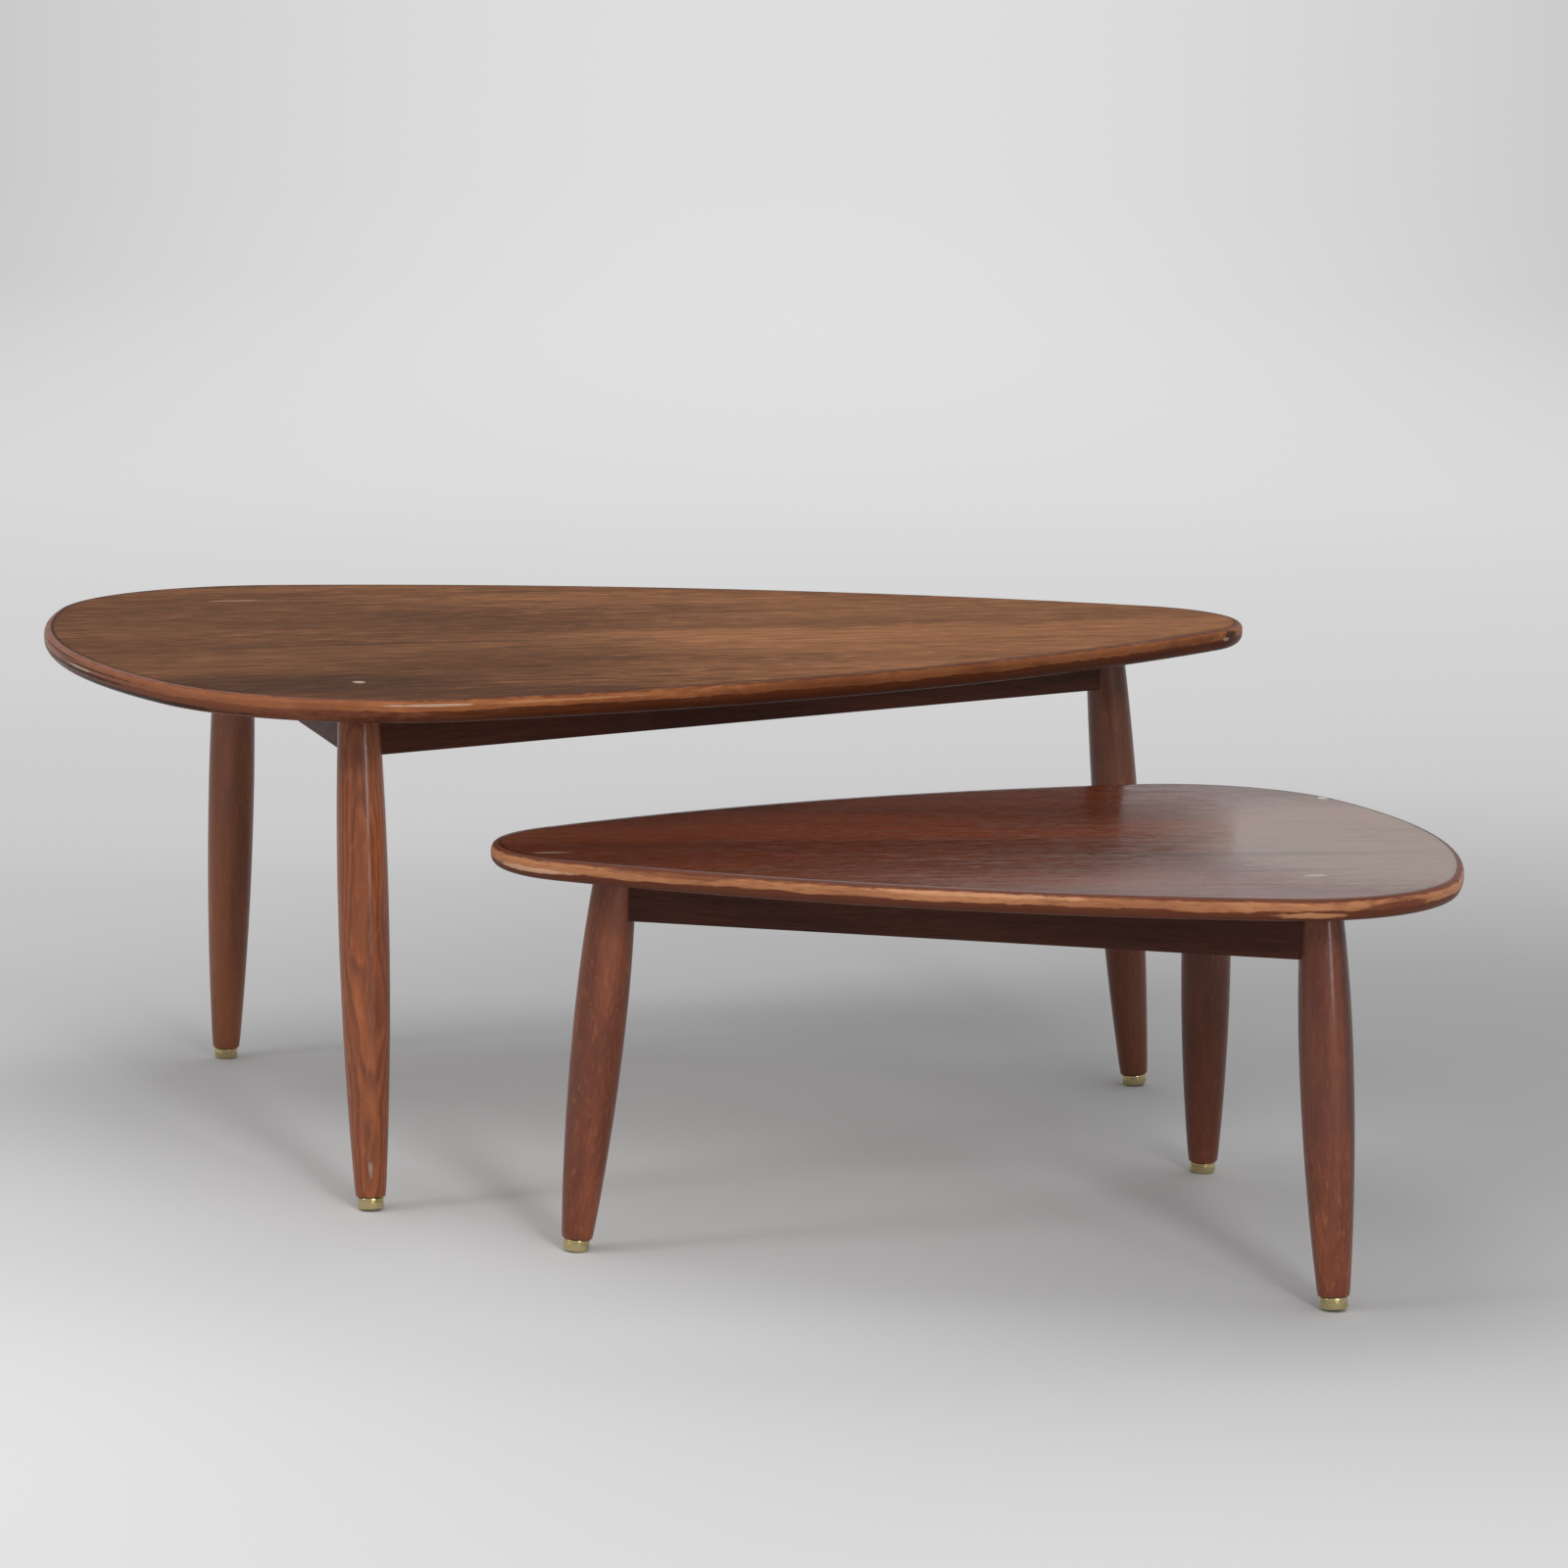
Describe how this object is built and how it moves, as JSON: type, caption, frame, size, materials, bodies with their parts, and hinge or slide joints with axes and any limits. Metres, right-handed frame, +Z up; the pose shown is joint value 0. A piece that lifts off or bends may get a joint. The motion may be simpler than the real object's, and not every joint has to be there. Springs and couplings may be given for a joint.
{
  "type": "nesting tables",
  "caption": "Pair of nesting tables with rounded three-cornered veneered tops, splayed turned legs, tie rails and brass levelling feet; the small one slides under the large one.",
  "frame": {"origin": "on the floor, under the middle of the box round both tables at rest", "axes": "+Z up from the floor, +X along the large table towards its narrow tip, -Y to the front, where the small table stands pulled out"},
  "size_m": [1.1228, 1.2756, 0.45],
  "materials": {
    "large_veneer": "satin lacquer",
    "small_veneer": "satin lacquer",
    "large_lipping": "satin lacquer, rubbed on the edge",
    "small_lipping": "satin lacquer, rubbed on the edge",
    "large_leg_wood": "satin lacquer",
    "small_leg_wood": "satin lacquer",
    "rail_wood": "satin lacquer",
    "backing_veneer": "matt lacquer",
    "core_board": "raw",
    "dowel_wood": "raw",
    "brass": "brushed",
    "steel": "zinc plated"
  },
  "bodies": {
    "large_table": {"large_top_veneer": "large_veneer", "large_top_core": "core_board", "large_backing_veneer": "backing_veneer", "large_lipping_front": "large_lipping", "large_lipping_back": "large_lipping", "large_lipping_end": "large_lipping", "large_leg_front": "large_leg_wood", "large_leg_back": "large_leg_wood", "large_leg_tip": "large_leg_wood", "large_rail_end": "rail_wood", "large_rail_front": "rail_wood", "large_rail_back": "rail_wood", "large_rail_dowels": "dowel_wood", "large_top_brackets": "steel", "large_top_screws": "steel", "large_rail_screws": "steel", "large_foot_insert_front": "brass", "large_foot_insert_back": "brass", "large_foot_insert_tip": "brass"},
    "small_table": {"small_top_veneer": "small_veneer", "small_top_core": "core_board", "small_backing_veneer": "backing_veneer", "small_lipping_front": "small_lipping", "small_lipping_back": "small_lipping", "small_lipping_end": "small_lipping", "small_leg_front": "small_leg_wood", "small_leg_back": "small_leg_wood", "small_leg_tip": "small_leg_wood", "small_rail_end": "rail_wood", "small_rail_front": "rail_wood", "small_rail_back": "rail_wood", "small_rail_dowels": "dowel_wood", "small_top_brackets": "steel", "small_top_screws": "steel", "small_rail_screws": "steel", "small_foot_insert_front": "brass", "small_foot_insert_back": "brass", "small_foot_insert_tip": "brass"},
    "large_foot_front": {"large_foot_front": "brass"},
    "large_foot_back": {"large_foot_back": "brass"},
    "large_foot_tip": {"large_foot_tip": "brass"},
    "small_foot_front": {"small_foot_front": "brass"},
    "small_foot_back": {"small_foot_back": "brass"},
    "small_foot_tip": {"small_foot_tip": "brass"}
  },
  "joints": [
    {"name": "nest_slide", "type": "slide", "parent": "large_table", "child": "small_table", "axis": [-0.1392, 0.9903, 0], "range_m": [0, 0.335]},
    {"name": "large_foot_front_screw", "type": "slide", "parent": "large_table", "child": "large_foot_front", "axis": [0.0023, -0.1178, -0.993], "range_m": [0, 0.006]},
    {"name": "large_foot_back_screw", "type": "slide", "parent": "large_table", "child": "large_foot_back", "axis": [0.0023, 0.1178, -0.993], "range_m": [0, 0.006]},
    {"name": "large_foot_tip_screw", "type": "slide", "parent": "large_table", "child": "large_foot_tip", "axis": [0.0995, 0, -0.995], "range_m": [0, 0.006]},
    {"name": "small_foot_front_screw", "type": "slide", "parent": "small_table", "child": "small_foot_front", "axis": [0.0208, -0.1106, -0.9936], "range_m": [0, 0.006]},
    {"name": "small_foot_back_screw", "type": "slide", "parent": "small_table", "child": "small_foot_back", "axis": [0.0548, 0.0983, -0.9936], "range_m": [0, 0.006]},
    {"name": "small_foot_tip_screw", "type": "slide", "parent": "small_table", "child": "small_foot_tip", "axis": [-0.0925, 0.0151, -0.9956], "range_m": [0, 0.006]}
  ]
}
